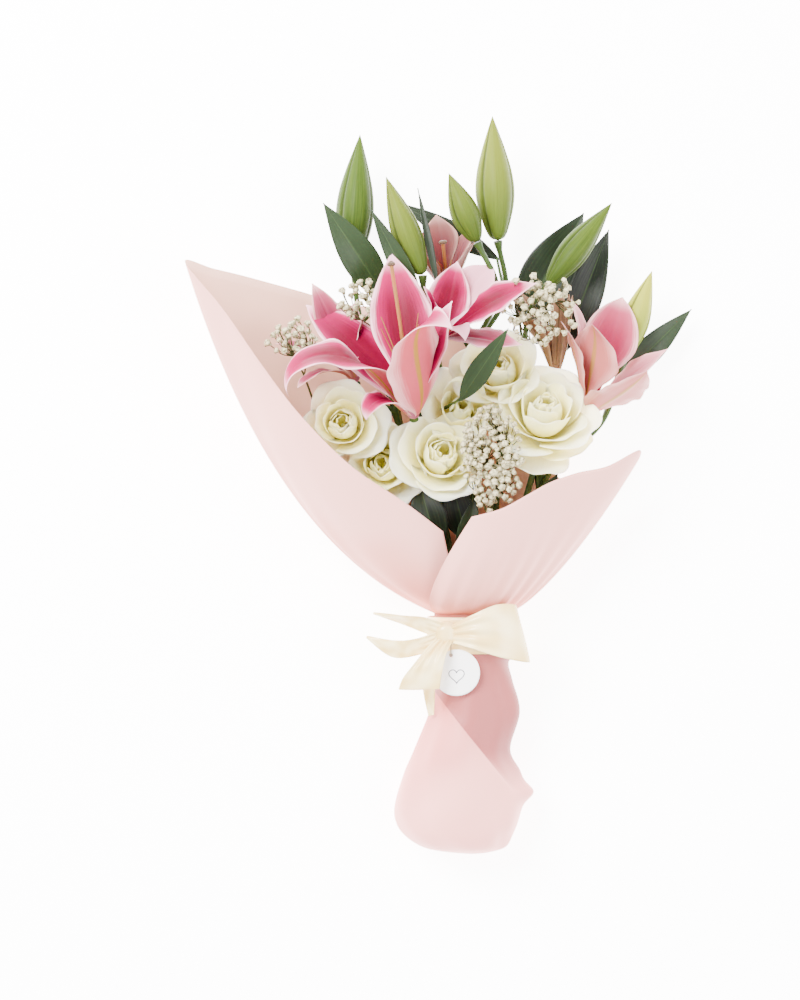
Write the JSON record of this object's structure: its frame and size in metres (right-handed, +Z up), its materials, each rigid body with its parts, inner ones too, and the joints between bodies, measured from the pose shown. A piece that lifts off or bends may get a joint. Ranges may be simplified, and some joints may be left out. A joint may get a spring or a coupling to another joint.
{
  "type": "mixed flower bouquet",
  "caption": "Hand-tied bouquet of lilies, roses and gypsophila in a paper wrap with a ribbon and a round tag, lying on its flat back.",
  "frame": {"origin": "on the table, at the flat back of the wrap under the middle of the flowers", "axes": "+Y from the tied stems towards the flowers, +Z up from the table, +X to the right when looked down on"},
  "size_m": [0.448, 0.6545, 0.1917],
  "materials": {
    "satin_ribbon": "satin",
    "sleeve_paper": "soft sheen",
    "wrap_paper": "matte",
    "tag_card": "matte",
    "tie_cord": "matte",
    "green_stem": "waxy leaf and stalk",
    "lily_petal": "soft petal",
    "rose_petal": "soft petal",
    "stamen": "matte",
    "bud_skin": "waxy",
    "gypsophila_white": "matte"
  },
  "bodies": {
    "root": {"ribbon": "satin_ribbon", "stem_sleeve": "sleeve_paper", "wrap_front": "wrap_paper", "wrap_back": "wrap_paper", "tag": "tag_card", "tag_tie": "tie_cord", "lily_stem_1": "green_stem", "lily_stem_2": "green_stem", "lily_stem_3": "green_stem", "lily_stem_4": "green_stem", "rose_stem_1": "green_stem", "rose_stem_2": "green_stem", "rose_stem_3": "green_stem", "rose_stem_4": "green_stem", "rose_stem_5": "green_stem", "rose_stem_6": "green_stem", "lily_1": "lily_petal", "lily_2": "lily_petal", "lily_3": "lily_petal", "lily_4": "lily_petal", "lily_5": "lily_petal", "lily_6": "lily_petal", "rose_1": "rose_petal", "rose_2": "rose_petal", "rose_3": "rose_petal", "rose_4": "rose_petal", "rose_5": "rose_petal", "rose_6": "rose_petal", "stamens_1": "stamen", "stamens_5": "stamen", "bud_1": "bud_skin", "bud_2": "bud_skin", "bud_3": "bud_skin", "bud_4": "bud_skin", "bud_5": "bud_skin", "bud_6": "bud_skin", "gypsophila_1": "gypsophila_white", "gypsophila_2": "gypsophila_white", "gypsophila_3": "gypsophila_white", "gypsophila_4": "gypsophila_white"}
  },
  "joints": []
}
